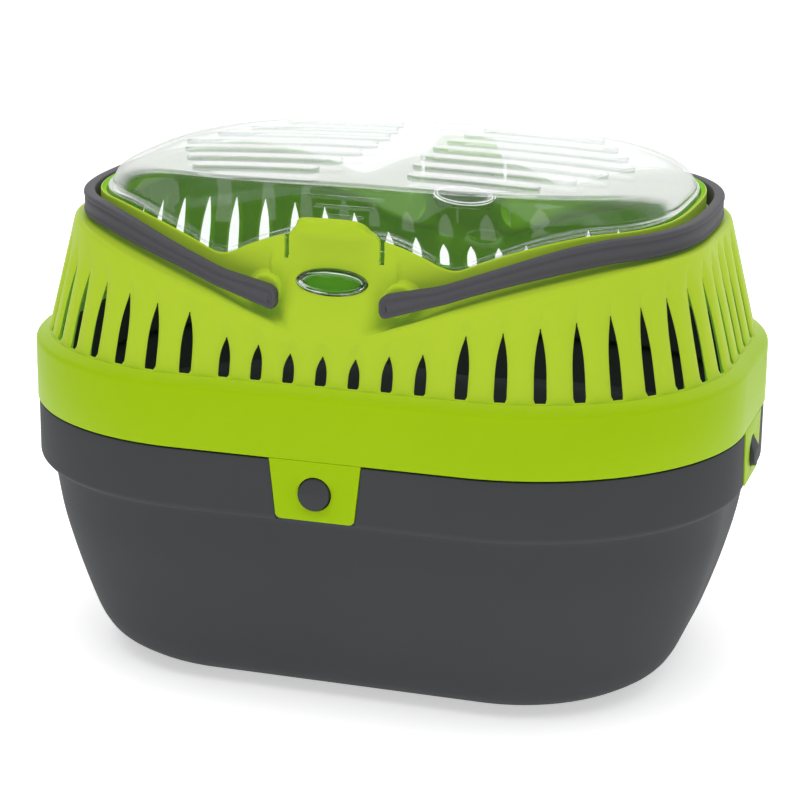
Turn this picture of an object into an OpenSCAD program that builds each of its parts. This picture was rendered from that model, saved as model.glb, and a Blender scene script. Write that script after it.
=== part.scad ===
/* [Plan] */
// width of the body over the green rim band, mm
body_w = 300; // [240:1:360]
// depth of the body over the rim band, mm
body_d = 226.8; // [200:0.2:280]
// radius of the rounded corners at the rim band
corner_r = 92.2; // [80:0.2:98]

/* [Base tub] */
// height of the step under the tub's upper band
step_z = 84.2; // [76:0.2:92]
// inset of the flat foot from the rim band
foot_in = 43.7; // [36:0.1:50]
// tub wall thickness
tub_wall = 2.4; // [1.8:0.1:3.2]
// height of the tub's rim inside the green band
tub_rim_z = 130; // [122:1:131]

/* [Shell] */
// bottom edge of the green rim band
band_z0 = 108.9; // [100:0.1:116]
// top edge of the green rim band
band_z1 = 134.4; // [126:0.1:140]
// foot of the slotted wall, where the slots begin
slot_z = 137.5; // [131:0.1:146]
// inset of the slotted wall at its foot
ledge_in = 5.6; // [4:0.1:8]
// inward lean of the slotted wall, mm per mm of height
wall_lean = 0.2514; // [0.15:0.01:0.3]
// shell wall thickness
wall_t = 2.2; // [1.8:0.1:2.6]
// inset of the lip from the rim band at the ends
lip_in_end = 27.3; // [26:0.1:29]
// inset of the lip at the front and back
lip_in_side = 22.8; // [22:0.1:24]
// squareness of the lip's loop
lip_k = 2.95; // [2.8:0.05:3.1]
// height of the lip round both ends
lip_z = 196.2; // [193:0.2:199]
// height of the lip's two low points either side of the latch
lip_dip_z = 180.8; // [179:0.2:183]
// distance of those low points from the centre
dip_x = 46.5; // [44:0.1:48]
// rise of the lip from a low point to the latch
lip_rise = 11.3; // [10:0.1:12]
// how much deeper the recess runs at the centre
recess_drop = 30; // [27:0.2:33]

/* [Slots] */
// width of the short slots over the latch
slot_w_short = 4.5; // [3.6:0.1:5.2]
// width of the long slots
slot_w_long = 5; // [4:0.1:6]
// spacing of the short slots
slot_pitch = 13.2; // [12.4:0.1:13.6]
// distance of the first long slot from the centre
first_long = 55.7; // [55:0.1:57.4]
// top of the shortest slot
slot_top = 148.1; // [146:0.1:150]
// rise of the short slots away from the latch
short_rise = 4; // [2:0.1:5]
// rise of the first long slot over the shortest
long_rise = 12.1; // [10:0.1:14]

/* [Latches] */
// half width of the latch panel
panel_half = 17; // [17:0.1:17.4]
// how far the panel's foot stands out of the lip
panel_out = 2.6; // [2.2:0.1:3]
// height of the flared finger tab
flare_h = 16; // [15:0.1:17]
// height of the oval catch's centre
catch_z = 175; // [173:0.1:176]
// half length of the oval hole
oval_half = 14.6; // [13:0.1:14.8]
// half height of the oval hole
oval_r = 5.6; // [5:0.1:5.8]
// clearance round the oval catch
oval_gap = 0.7; // [0.6:0.05:1]

/* [Handles] */
// distance of the handle pivots from the centre plane
pivot_x = 27; // [26.5:0.1:28]
// underside of the handle round its end
handle_z = 186.1; // [185.5:0.1:187]
// height of the handle bar half way along its arms
handle_h = 7.5; // [6.8:0.1:8]
// how much higher the bar is at its feet
foot_grow = 2; // [0.5:0.1:2.4]
// how much higher the bar is round its end
end_grow = 1.6; // [0.5:0.1:1.8]
// how much lower the handle runs at its feet
handle_drop = 22.7; // [21.6:0.1:23.6]
// room under a foot for its end to swing down
foot_room = 3.4; // [3:0.1:4]
// gap between the lip and the handle at the ends
handle_gap = 3.3; // [3:0.1:4]
// gap between the lip and the handle at the front and back
handle_gap_side = 4.8; // [4.6:0.1:6]
// squareness of the handle's loop
handle_k = 2.7; // [2.68:0.01:2.8]
// thickness of the handle bar
handle_t = 4.6; // [4.2:0.1:5]
// pivot pin radius
pin_r = 2; // [1.6:0.05:2.4]
// radial running clearance of a pivot pin
pin_gap = 0.06; // [0.03:0.01:0.1]
// radius of the pivot bosses on the shell
boss_r = 7.6; // [6:0.1:7.8]

/* [Lid] */
// how far the lid's top rises over the lip
lid_rise = 15.6; // [13:0.2:18]
// gap between the lid's skirt and the lip
lid_gap = 0.5; // [0.4:0.05:0.8]
// lid wall thickness
lid_t = 1.8; // [1.4:0.1:2.2]
// how much lower the lid's crowned top is at its ends
crown_end = 5.2; // [3:0.2:7]
// how much lower the crowned top is at its front and back
crown_side = 2.2; // [0.6:0.2:3]
// how far the lid's front and back walls lean in
lid_lean = 11.7; // [9:0.1:13]
// how far in the soft slope at the lid's ends reaches
lid_soft = 17.5; // [14:0.5:21]
// how far the thumb bars stand out of the lid
bar_out = 0.6; // [0.4:0.1:1]
// height of the ridges on the lid
ridge_h = 1.1; // [0.6:0.1:2]
// spacing of the ridges
ridge_pitch = 18.6; // [14:0.2:19]
// width of a ridge
ridge_w = 9; // [3:0.5:11]
// distance of the middle ridges from the centre plane
ridge_in = 12; // [9:0.5:16]
// reach of the middle ridges along the lid
ridge_out = 97; // [90:0.5:100]

/* [Snap tabs] */
// half width of a snap tab at its root
tab_half = 18.6; // [16:0.1:19]
// half width of a snap tab at its free end
tab_half_end = 15.9; // [14:0.1:16]
// tab thickness
tab_t = 2; // [1.6:0.1:2.2]
// gap round a tab
tab_gap = 0.35; // [0.32:0.01:0.5]
// height of the stud centres
stud_z = 95.9; // [94.8:0.1:97]
// stud radius
stud_r = 6.2; // [5:0.1:6.6]
// gap between a stud and the hole in its tab
stud_gap = 0.5; // [0.4:0.05:0.8]
// how far a stud stands out of the tab
stud_out = 1.9; // [1:0.1:2.4]

/* [Hidden] */
sx = body_w/2 - corner_r;
sy = body_d/2 - corner_r;
lid_z = lip_z + lid_rise;
lip_a = body_w/2 - lip_in_end;
lip_b = body_d/2 - lip_in_side;
handle_a = lip_a + handle_gap + handle_t;
handle_b = lip_b + handle_gap_side + handle_t;
lid_a = lip_a - wall_t - lid_gap;
lid_b = lip_b - wall_t - lid_gap;
arc_len = (corner_r - ledge_in)*PI/2;
quarter = sx + arc_len + sy;
n_long = 11;
long_pitch = (quarter - 6.6 - first_long)/(n_long - 1);
panel_y = [-(lip_b + panel_out), -(lip_b + 0.23*panel_out), -(lip_b - 0.2*panel_out)];
panel_z = [catch_z, catch_z + 2.85*panel_out, catch_z + 5.96*panel_out];
slit = [panel_half + 1.3, panel_half + 2.1];
panel_lean = atan((panel_y[1] - panel_y[0])/(panel_z[1] - panel_z[0]));
pivot_z = handle_low(pivot_x) + bar_h(pivot_x)/2;
root_z = panel_z[2] - 0.3;
$fn = 48;

// ---- plan path: s runs from the front centre to the end's centre ----
function clamp(v, a, b) = max(a, min(b, v));
function col(s) = s <= sx ? [s, 0, 1]
    : s <= sx + arc_len ? [sx, (s - sx)/arc_len*90, 1]
    : [sx, 90, clamp(1 - (s - sx - arc_len)/sy, 0, 1)];
function rest(v, k) = pow(1 - pow(v, k), 1/k);
function loop_y(x, b, a, k) = b*rest(x/a, k);
function low_pt(c, r, z) = [c[0] + r*sin(c[1]), -(c[2]*sy + r*cos(c[1])), z];
// the direction of a column from the body's middle, with both half lengths taken as one
function aim(s) = let(p = low_pt(col(s), corner_r, 0)) atan2(2*p[0]/body_w, -2*p[1]/body_d);
// a point of an upper loop: straight over the columns up to dip_x, then round to the end
function up_pt(s, a, b, k, z) = let(
    t0 = atan2(dip_x/a, rest(dip_x/a, k)),
    t = aim(s) + (t0 - aim(dip_x))*(90 - aim(s))/(90 - aim(dip_x)),
    m = pow(pow(abs(sin(t)), k) + pow(abs(cos(t)), k), -1/k))
    s <= dip_x ? [s, -loop_y(s, b, a, k), z] : [a*sin(t)*m, -b*cos(t)*m, z];
function lip_pt(s, inset, z) = up_pt(s, lip_a - inset, lip_b - inset, lip_k, z);
function lid_pt(s, inset, z) = up_pt(s, lid_a - inset, lid_b - inset, lip_k, z);
function handle_pt(s, inset, z) = up_pt(s, handle_a - inset, handle_b - inset, handle_k, z);

// ---- heights that vary round the body ----
function ease(s, a, len, p) = pow(1 - clamp((s - a)/len, 0, 1), p);
function recess_z(s) = handle_z - 0.6 - recess_drop*ease(s, 0.71*panel_half, 0.688*quarter, 1.93);
function handle_low(s) = handle_z - handle_drop*ease(s, 0.815*pivot_x, 0.488*quarter, 1.5);
function bar_h(s) = handle_h + foot_grow*ease(s, 0.815*pivot_x, 0.74*pivot_x, 1)
    + end_grow*(1 - ease(s, 0.28*quarter, 0.23*quarter, 1));
function lip_top(s) = let(t = (dip_x - s)/(dip_x - slit[1])) s < dip_x
    ? lip_dip_z + t*lip_rise + 0.1*lip_rise*sin(180*min(t, 1))
    : lip_z - (lip_z - lip_dip_z)*ease(s, dip_x, 0.344*quarter, 1.68);
function wall_in(z) = ledge_in + (z - slot_z)*wall_lean;
function long_top(j) = slot_top + long_rise*(1 + 0.1736*j - 0.0033*j*j);
function short_top(k) = slot_top + short_rise*[0, 0, 0.55, 1][k];

// ---- columns of the shell: [s, kind, slot top]; kind 1 slot edge, 2 slot middle ----
function slot3(s, w, t) = [[s - w/2, 1, t], [s, 2, t], [s + w/2, 1, t]];
function flat1(v) = [for (a = v) for (b = a) b];
shell_q = concat(
    [[0, 2, short_top(0)], [slot_w_short/2, 1, short_top(0)]],
    slot3(slot_pitch, slot_w_short, short_top(1)),
    [for (x = [panel_half, panel_half + 0.7, slit[0], slit[1]]) [x, 0, short_top(1)]],
    slot3(2*slot_pitch, slot_w_short, short_top(2)),
    slot3(3*slot_pitch, slot_w_short, short_top(3)),
    [[dip_x, 0, short_top(3)], [(dip_x + first_long)/2, 0, short_top(3)]],
    flat1([for (j = [0:n_long - 1]) slot3(first_long + j*long_pitch, slot_w_long, long_top(j))]),
    [[quarter, 0, long_top(n_long - 1)]]);

// ---- loop helpers: a quarter list is mirrored into a full turn ----
function q_index(k, n) = k <= n ? k : k <= 2*n ? 2*n - k : k <= 3*n ? k - 2*n : 4*n - k;
function q_sign(k, n) = [k <= 2*n ? 1 : -1, k > n && k < 3*n ? -1 : 1, 1];
function signed(p, g) = [p[0]*g[0], p[1]*g[1], p[2]*g[2]];
function loft_points(rows, n) = [for (k = [0:4*n - 1]) for (p = rows[q_index(k, n)]) signed(p, q_sign(k, n))];
function tri2(a, b, c, d) = [[a, b, c], [a, c, d]];
// a flat cap as a fan round a centre point of index hub
function fan(m, N, j, hub, up) = [for (k = [0:m - 1])
    up ? [hub, ((k + 1) % m)*N + j, k*N + j] : [hub, k*N + j, ((k + 1) % m)*N + j]];

// ---- upper shell ----
function edge_top(c) = c[1] == 2 ? c[2] : c[1] == 1 ? c[2] - 4.2 : c[2] - 3;
function shell_rows(c) = let(
    s = c[0], p = col(s), t = wall_t,
    out_panel = s <= panel_half + 0.01, in_panel = s <= 0.91*panel_half,
    zr = recess_z(s), rr = corner_r - wall_in(zr), z4 = edge_top(c),
    zi = handle_low(s) - 0.6 - foot_room*ease(s, 1.25*pivot_x, 0.5*pivot_x, 1),
    low_top = s < slit[1] - 0.1) [
    low_pt(p, corner_r, band_z0),
    low_pt(p, corner_r, band_z1 - 1.6),
    low_pt(p, corner_r - 1.1, band_z1),
    low_pt(p, corner_r - ledge_in, slot_z),
    low_pt(p, corner_r - wall_in(z4), z4),
    low_pt(p, rr, zr),
    out_panel ? [s, panel_y[0], panel_z[0]] : lip_pt(s, 0, zi),
    low_top ? [s, panel_y[1], panel_z[1]] : lip_pt(s, 0, lip_top(s)),
    low_top ? [s, panel_y[1] + t, panel_z[1]] : lip_pt(s, t, lip_top(s)),
    in_panel ? [s, panel_y[0] + t, panel_z[0]] : lip_pt(s, t, zi - 1.6),
    low_pt(p, rr - t, zr - 2),
    low_pt(p, corner_r - wall_in(z4) - t, z4),
    low_pt(p, corner_r - ledge_in - t, slot_z),
    low_pt(p, corner_r - t - 0.3, slot_z - 4.6),
    low_pt(p, corner_r - t - 0.3, band_z0)];

module shell_body() {
    n = len(shell_q) - 1;
    m = 4*n;
    N = 15;
    kind = [for (k = [0:m - 1]) shell_q[q_index(k, n)][1]];
    pts = loft_points([for (c = shell_q) shell_rows(c)], n);
    function v(k, j) = (k % m)*N + (j % N);
    function open_cell(k) = kind[k] + kind[(k + 1) % m] == 3;
    skin = [for (k = [0:m - 1]) for (j = [0:N - 1])
        if (!(open_cell(k) && (j == 3 || j == 11)))
        each tri2(v(k, j), v(k, j + 1), v(k + 1, j + 1), v(k + 1, j))];
    heads = [for (k = [0:m - 1]) if (open_cell(k))
        each tri2(v(k, 4), v(k + 1, 4), v(k + 1, 11), v(k, 11))];
    sills = [for (k = [0:m - 1]) if (open_cell(k))
        each tri2(v(k, 3), v(k, 12), v(k + 1, 12), v(k + 1, 3))];
    left = [for (k = [0:m - 1]) if (open_cell(k) && kind[k] == 1)
        each tri2(v(k, 3), v(k, 4), v(k, 11), v(k, 12))];
    right = [for (k = [0:m - 1]) if (open_cell(k) && kind[k] == 2)
        each tri2(v(k + 1, 3), v(k + 1, 12), v(k + 1, 11), v(k + 1, 4))];
    polyhedron(points = pts, faces = concat(skin, heads, sills, left, right));
}

module along_y(y0, y1, r) {
    translate([0, y0, 0])
        rotate([-90, 0, 0])
            cylinder(h = y1 - y0, r = r);
}

// oval prism square to the leaning latch panel, w from a to b outward
module oval(half, r, a, b) {
    translate([0, panel_y[0], catch_z])
        rotate([90 - panel_lean, 0, 0])
            translate([0, 0, a]) {
                translate([-(half - r), -r, 0])
                    cube([2*(half - r), 2*r, b - a]);
                for (g = [-1, 1])
                    translate([g*(half - r), 0, 0])
                        cylinder(h = b - a, r = r);
            }
}

module front_and_back() {
    children();
    rotate([0, 0, 180])
        children();
}

module upper_shell() {
    boss_end = loop_y(pivot_x + boss_r, handle_b - handle_t, handle_a - handle_t, handle_k) - 0.4;
    lip_in = loop_y(pivot_x, lip_b, lip_a, lip_k) - wall_t;
    color([0.62, 0.77, 0.12])
    difference() {
        union() {
            shell_body();
            front_and_back()
                for (g = [-1, 1])
                    translate([g*pivot_x, 0, pivot_z])
                        along_y(-boss_end, -lip_in, boss_r);
        }
        front_and_back() {
            for (g = [-1, 1])
                translate([g*pivot_x, 0, pivot_z])
                    along_y(-(boss_end + 1), -(lip_in - 1), pin_r + pin_gap);
            oval(oval_half, oval_r, -4.5, 4);
        }
    }
}

// ---- flared finger tab between the slits, with a rounded root ----
// side view as shares of the tab's height, up its outer face and down its inner one
flare = [[-0.066, 0], [-0.05, 0.2], [-0.05, 0.4], [-0.075, 0.52], [-0.145, 0.64], [-0.25, 0.76],
    [-0.375, 0.88], [-0.49, 0.95], [-0.5, 1], [-0.41, 1], [-0.3, 0.95], [-0.17, 0.83], [-0.06, 0.71],
    [0.02, 0.59], [0.06, 0.46], [0.076, 0.3], [0.066, 0]];

module latch_tab() {
    w = panel_half + 1;
    yr = panel_y[1] + wall_t/2;
    zr = panel_z[1] + 1.45;
    color([0.62, 0.77, 0.12])
    difference() {
        union() {
            rotate([90, 0, 90])
                translate([0, 0, -w])
                    linear_extrude(height = 2*w)
                        polygon([for (q = flare) [yr + q[0]*flare_h, zr + q[1]*flare_h]]);
            translate([-w, yr, zr])
                rotate([0, 90, 0])
                    cylinder(h = 2*w, r = 0.066*flare_h);
        }
        for (g = [-1, 1])
            for (cut = [[0.59, 1, 40], [0.79, 0.82, 66]])
                translate([g*cut[0]*panel_half, yr - flare_h, zr + cut[1]*flare_h])
                    rotate([0, g*cut[2], 0])
                        translate([g > 0 ? 0 : -2*flare_h, 0, 0])
                            cube([2*flare_h, 2*flare_h, flare_h]);
    }
}

module front_latch_tab() {
    latch_tab();
}

module back_latch_tab() {
    rotate([0, 0, 180])
        latch_tab();
}

// ---- snap tabs: a trapezoid plate with a round hole and a rounded root ----
module tab_plate(grow, t0, t1) {
    z1 = band_z0 - 1.3;
    z0 = step_z + 0.6;
    rotate([90, 0, 0])
        translate([0, 0, t0])
            linear_extrude(height = t1 - t0)
                polygon([[-tab_half - grow, z1], [-tab_half_end - grow, z0 + 1.2 - grow],
                    [-tab_half_end + 1.2 - grow, z0 - grow], [tab_half_end - 1.2 + grow, z0 - grow],
                    [tab_half_end + grow, z0 + 1.2 - grow], [tab_half + grow, z1]]);
}

module snap_tab(reach) {
    z1 = band_z0 - 1.3;
    color([0.62, 0.77, 0.12])
    difference() {
        union() {
            tab_plate(0, reach - tab_t, reach);
            translate([-tab_half, -(reach - tab_t/2), z1])
                rotate([0, 90, 0])
                    cylinder(h = 2*tab_half, r = tab_t/2);
        }
        translate([0, 0, stud_z])
            along_y(-reach - 1, -reach + tab_t + 1, stud_r + stud_gap);
    }
}

module front_snap_tab() {
    snap_tab(body_d/2);
}

module back_snap_tab() {
    rotate([0, 0, 180])
        snap_tab(body_d/2);
}

module right_snap_tab() {
    rotate([0, 0, 90])
        snap_tab(body_w/2);
}

module left_snap_tab() {
    rotate([0, 0, -90])
        snap_tab(body_w/2);
}

// ---- base tub with four wedge studs ----
tub_q = concat([0, sx/3, 2*sx/3], [for (i = [0:9]) sx + i*arc_len/9], [quarter]);
// the tub's outer and inner curve as shares of the foot's inset and of the step's height
tub_curve = [[1, 0], [0.847, 0.031], [0.648, 0.095], [0.545, 0.178], [0.458, 0.297], [0.341, 0.475],
    [0.213, 0.713]];
tub_hollow = [[0.222, 0.713], [0.355, 0.475], [0.483, 0.297], [0.584, 0.184], [0.725, 0.095]];
tub_out = concat([for (q = tub_curve) [q[0]*foot_in, q[1]*step_z]], [[6.3, step_z - 4.4],
    [5.2, step_z - 2.2], [1.5, step_z - 1.4], [0.5, step_z + 0.4], [0.5, band_z0 - 0.8],
    [3, band_z0 - 0.4], [3, tub_rim_z]]);
tub_in = concat([[3 + tub_wall, tub_rim_z], [3 + tub_wall, step_z], [6.3 + tub_wall, step_z - 6]],
    [for (q = tub_hollow) [q[0]*foot_in + tub_wall, q[1]*step_z]], [[0.954*foot_in, 0.33*tub_wall + 2.4]]);

module tub_body() {
    n = len(tub_q) - 1;
    m = 4*n;
    prof = concat(tub_out, tub_in);
    N = len(prof);
    rows = [for (s = tub_q) [for (q = prof) low_pt(col(s), corner_r - q[0], q[1])]];
    pts = concat(loft_points(rows, n), [[0, 0, prof[0][1]], [0, 0, prof[N - 1][1]]]);
    function v(k, j) = (k % m)*N + j;
    skin = [for (k = [0:m - 1]) for (j = [0:N - 2])
        each tri2(v(k, j), v(k, j + 1), v(k + 1, j + 1), v(k + 1, j))];
    foot = fan(m, N, 0, m*N, false);
    floor_in = fan(m, N, N - 1, m*N + 1, true);
    polyhedron(points = pts, faces = concat(skin, foot, floor_in));
}

module stud(reach) {
    difference() {
        translate([0, 0, stud_z])
            along_y(-(reach + stud_out), -(reach - tab_t - 1), stud_r);
        translate([-2*stud_r, -(reach + stud_out), stud_z + 0.6])
            rotate([-24, 0, 0])
                translate([0, -stud_r, 0])
                    cube([4*stud_r, stud_r, 2*stud_r]);
    }
}

module base_tub() {
    color([0.29, 0.3, 0.31])
    union() {
        difference() {
            tub_body();
            front_and_back()
                tab_plate(tab_gap, body_d/2 - tab_t - tab_gap, body_d/2 + 2);
            rotate([0, 0, 90])
                front_and_back()
                    tab_plate(tab_gap, body_w/2 - tab_t - tab_gap, body_w/2 + 2);
            front_and_back()
                tab_roof(body_d/2);
            rotate([0, 0, 90])
                front_and_back()
                    tab_roof(body_w/2);
        }
        front_and_back()
            stud(body_d/2);
        rotate([0, 0, 90])
            front_and_back()
                stud(body_w/2);
    }
}

module tab_roof(reach) {
    translate([-tab_half - tab_gap, -(reach + 2), band_z0 - 1.4])
        cube([2*(tab_half + tab_gap), tab_t + tab_gap + 2, 3]);
}

// ---- lid ----
lid_cut = panel_half - 1;
lid_q = concat([0, lid_cut/2, lid_cut - 0.1, lid_cut + 0.2, slit[1], 0.5*(slit[1] + dip_x), dip_x],
    [0.5*(dip_x + sx)], [for (i = [0:9]) sx + i*arc_len/9], [quarter]);
function lid_low(s) = s < lid_cut ? panel_z[2] : lip_top(max(s, slit[1])) - 5;
// rings up the lid as shares: [inset front, inset end, height front, height end, way the wall faces
// at the front, at the end, crown]
lid_rows = [[0.615, 0.063, 0.115, 0.172, 24, 20, 0], [0.923, 0.177, 0.643, 0.382, 28, 43, 0],
    [1, 0.377, 0.764, 0.535, 37, 62, 0], [1.137, 0.657, 0.854, 0.662, 63, 72, 0],
    [1.35, 1, 1, 1, 78, 78, 1], [2.39, 1.6, 1, 1, 90, 90, 1], [3.93, 2.63, 1, 1, 90, 90, 1]];
function crown(x, y) = crown_end*pow(x/lid_a, 2) + crown_side*pow(y/lid_b, 2);
function crowned(p, share) = [p[0], p[1], p[2] - share*crown(p[0], p[1])];
// 0 along the front, 1 at the end of the lid
function end_share(s) = pow(lid_pt(s, 0, 0)[0]/lid_a, 3.6);
function lid_row(s, q, t) =
    let(e = end_share(s), face = q[4] + (q[5] - q[4])*e, high = q[2] + (q[3] - q[2])*e,
        inset = lid_lean*q[0]*(1 - e) + lid_soft*q[1]*e + t*cos(face))
    crowned(lid_pt(s, inset, lip_z + high*(lid_z - lip_z) - t*sin(face)), q[6]);
function seat_z(s) = lip_top(max(s, slit[1]));
function lean_at(z) = let(q = lid_rows[0], r = lid_rows[1])
    lid_lean*(q[0] + (r[0] - q[0])*((z - lip_z)/(lid_z - lip_z) - q[2])/(r[2] - q[2]));

module lid_body() {
    n = len(lid_q) - 1;
    m = 4*n;
    N = 5 + 2*len(lid_rows);
    rows = [for (s = lid_q) concat(
        [lid_pt(s, 0, lid_low(s)), lid_pt(s, 0, seat_z(s) + 0.7), lid_pt(s, 0.8, seat_z(s) + 1.4)],
        [for (q = lid_rows) lid_row(s, q, 0)],
        [for (i = [len(lid_rows) - 1:-1:0]) lid_row(s, lid_rows[i], lid_t)],
        [lid_pt(s, lid_t + 0.4, seat_z(s) + 0.2), lid_pt(s, lid_t, lid_low(s))])];
    pts = concat(loft_points(rows, n), [[0, 0, lid_z], [0, 0, lid_z - lid_t]]);
    cap = 2 + len(lid_rows);
    function v(k, j) = (k % m)*N + (j % N);
    skin = [for (k = [0:m - 1]) for (j = [0:N - 1]) if (j != cap)
        each tri2(v(k, j), v(k, j + 1), v(k + 1, j + 1), v(k + 1, j))];
    top = fan(m, N, cap, m*N, true);
    ceiling = fan(m, N, cap + 1, m*N + 1, false);
    polyhedron(points = pts, faces = concat(skin, top, ceiling));
}

// one ridge from x0 to x1 on one half of the crowned top
module ridge(g, y, x0, x1) {
    z0 = lid_z - crown(x0, y);
    z1 = lid_z - crown(x1, y);
    translate([g*x0, y - ridge_w/2, z0])
        rotate([0, g*atan((z0 - z1)/(x1 - x0)), 0])
            translate([g > 0 ? 0 : x0 - x1, 0, -0.8])
                cube([x1 - x0, ridge_w, ridge_h + 0.8]);
}

// the ridges shorten towards the front and the back
function ridge_from(i) = ridge_in*(1 + 0.058*i*i);
function ridge_to(i) = ridge_out*(1 - 0.062*abs(i) - 0.0082*i*i);
function bar_half(i) = 0.925*panel_half*(1 - 0.23*i);
function bar_z(i) = lid_z - 8 - 3.35*i;

module clear_lid() {
    color([0.9, 0.94, 0.95, 0.35])
    union() {
        lid_body();
        for (i = [-3:3])
            for (g = [-1, 1])
                ridge(g, i*ridge_pitch, ridge_from(i), ridge_to(i));
        front_and_back()
            for (i = [0:2])
                translate([-bar_half(i), lean_at(bar_z(i) + 0.7) - lid_b - bar_out, bar_z(i)])
                    cube([2*bar_half(i), lid_t + bar_out, 1.4]);
    }
}

// ---- clear catch tongue: rounded root, plate and oval boss ----
module lid_catch() {
    y0 = -(lid_b - lid_t/2);
    t = lid_t;
    yb = panel_y[0] + wall_t + 0.6;
    half = oval_half - oval_gap;
    color([0.9, 0.94, 0.95, 0.35])
    union() {
        translate([-half - 0.3, y0, root_z - t/2])
            rotate([0, 90, 0])
                cylinder(h = 2*half + 0.6, r = t/2);
        rotate([90, 0, 90])
            translate([0, 0, -half - 0.3])
                linear_extrude(height = 2*half + 0.6)
                    polygon([[y0 - t/2, root_z - t/2], [yb + panel_y[1] - panel_y[0], panel_z[1]],
                        [yb, catch_z], [yb - 1.9, catch_z - 6.2], [yb - 0.1, catch_z - 6.8],
                        [yb + t, catch_z - 0.4], [yb + t + panel_y[1] - panel_y[0], panel_z[1] - 0.4],
                        [y0 + t/2, root_z - t/2]]);
        oval(half, oval_r - oval_gap, -3.6, 1.6);
    }
}

module front_lid_catch() {
    lid_catch();
}

module back_lid_catch() {
    rotate([0, 0, 180])
        lid_catch();
}

// ---- carrying handles ----
handle_s = concat([for (i = [0:4]) pivot_x + i*(sx - pivot_x)/5], [for (i = [0:10]) sx + i*arc_len/10]);
// the bar's section as [inset, share of its height, offset]
handle_sec = [[0, 0, 1.6], [0, 1, -1.6], [1.2, 1, 0], [handle_t - 1.2, 1, 0],
    [handle_t, 1, -1.6], [handle_t, 0, 1.6], [handle_t - 1.2, 0, 0], [1.2, 0, 0]];

module handle_bar() {
    hs = len(handle_s);
    m = 2*hs;
    N = len(handle_sec);
    half = [for (s = handle_s) [for (q = handle_sec) handle_pt(s, q[0], handle_low(s) + q[1]*bar_h(s) + q[2])]];
    pts = concat([for (r = half) for (p = r) p],
        [for (i = [hs - 1:-1:0]) for (p = half[i]) [p[0], -p[1], p[2]]]);
    skin = [for (k = [0:m - 2]) for (j = [0:N - 1])
        each tri2(k*N + j, k*N + (j + 1) % N, (k + 1)*N + (j + 1) % N, (k + 1)*N + j)];
    e0 = [[for (j = [N - 1:-1:0]) j]];
    e1 = [[for (j = [0:N - 1]) (m - 1)*N + j]];
    polyhedron(points = pts, faces = concat(skin, e0, e1));
}

// a foot: the bar's rounded end, from the pivot towards the latch
module handle_foot(y0, y1) {
    e = 0.3*bar_h(pivot_x);
    hull()
        for (x = [-2*e - 0.4, 1.2])
            for (g = [-1, 1])
                translate([x + e - 0.6, 0, g*(bar_h(pivot_x)/2 - e)])
                    along_y(y0, y1, e);
}

module mirror_y(g) {
    if (g == 1)
        mirror([0, 1, 0])
            children();
    else
        children();
}

module right_handle() {
    y_out = loop_y(pivot_x, handle_b, handle_a, handle_k);
    lip_in = loop_y(pivot_x, lip_b, lip_a, lip_k) - wall_t;
    color([0.36, 0.36, 0.38])
    union() {
        handle_bar();
        for (g = [0, 1])
            mirror_y(g)
                translate([pivot_x, 0, pivot_z]) {
                    handle_foot(-y_out, -(y_out - handle_t));
                    along_y(-(y_out - 1), -lip_in, pin_r);
                }
    }
}

module left_handle() {
    rotate([0, 0, 180])
        right_handle();
}

base_tub();
upper_shell();
front_snap_tab();
back_snap_tab();
left_snap_tab();
right_snap_tab();
front_latch_tab();
back_latch_tab();
clear_lid();
front_lid_catch();
back_lid_catch();
left_handle();
right_handle();
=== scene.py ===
import math

import bpy
import bmesh
from mathutils import Matrix, Vector


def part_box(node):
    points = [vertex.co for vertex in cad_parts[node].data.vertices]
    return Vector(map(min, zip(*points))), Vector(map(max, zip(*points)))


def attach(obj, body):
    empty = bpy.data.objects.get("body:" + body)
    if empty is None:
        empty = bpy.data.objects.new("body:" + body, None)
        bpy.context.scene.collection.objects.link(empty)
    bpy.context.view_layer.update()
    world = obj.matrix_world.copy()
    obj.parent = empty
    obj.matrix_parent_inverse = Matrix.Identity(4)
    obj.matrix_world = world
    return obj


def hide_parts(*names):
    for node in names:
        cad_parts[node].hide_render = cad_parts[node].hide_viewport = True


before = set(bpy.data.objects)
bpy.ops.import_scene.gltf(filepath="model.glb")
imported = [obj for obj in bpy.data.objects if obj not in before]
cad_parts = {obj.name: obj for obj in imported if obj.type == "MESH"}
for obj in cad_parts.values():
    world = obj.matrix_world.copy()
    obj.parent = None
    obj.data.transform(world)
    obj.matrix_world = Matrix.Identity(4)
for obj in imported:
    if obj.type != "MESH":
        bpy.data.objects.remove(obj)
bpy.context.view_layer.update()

# ---- Studio ----
# A white paper sweep with a bright backdrop, a large softbox overhead and a smaller one
# at the front right, as small plastic goods are lit for a catalogue.
MM = 0.001
camera_azimuth = math.radians(17.30)
camera_elevation = math.radians(16.15)
camera_roll = math.radians(0.608)
camera_distance = 1.028
looked_at = Vector((-0.0012, 0.0, 0.1026))


def srgb(code):
    """An sRGB hex colour as the linear RGBA that a shader socket takes."""
    parts = [int(code[i:i + 2], 16) / 255 for i in (1, 3, 5)]
    return [p / 12.92 if p <= 0.04045 else ((p + 0.055) / 1.055) ** 2.4 for p in parts] + [1.0]


def add_node(tree, kind, settings=None, inputs=None):
    """Adds a node; inputs are socket values, or (node, output) pairs to link."""
    node = tree.nodes.new(kind)
    for name, value in (settings or {}).items():
        setattr(node, name, value)
    for socket, value in (inputs or {}).items():
        if isinstance(value, tuple) and isinstance(value[0], bpy.types.Node):
            tree.links.new(value[0].outputs[value[1]], node.inputs[socket])
        else:
            node.inputs[socket].default_value = value
    return node


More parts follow.
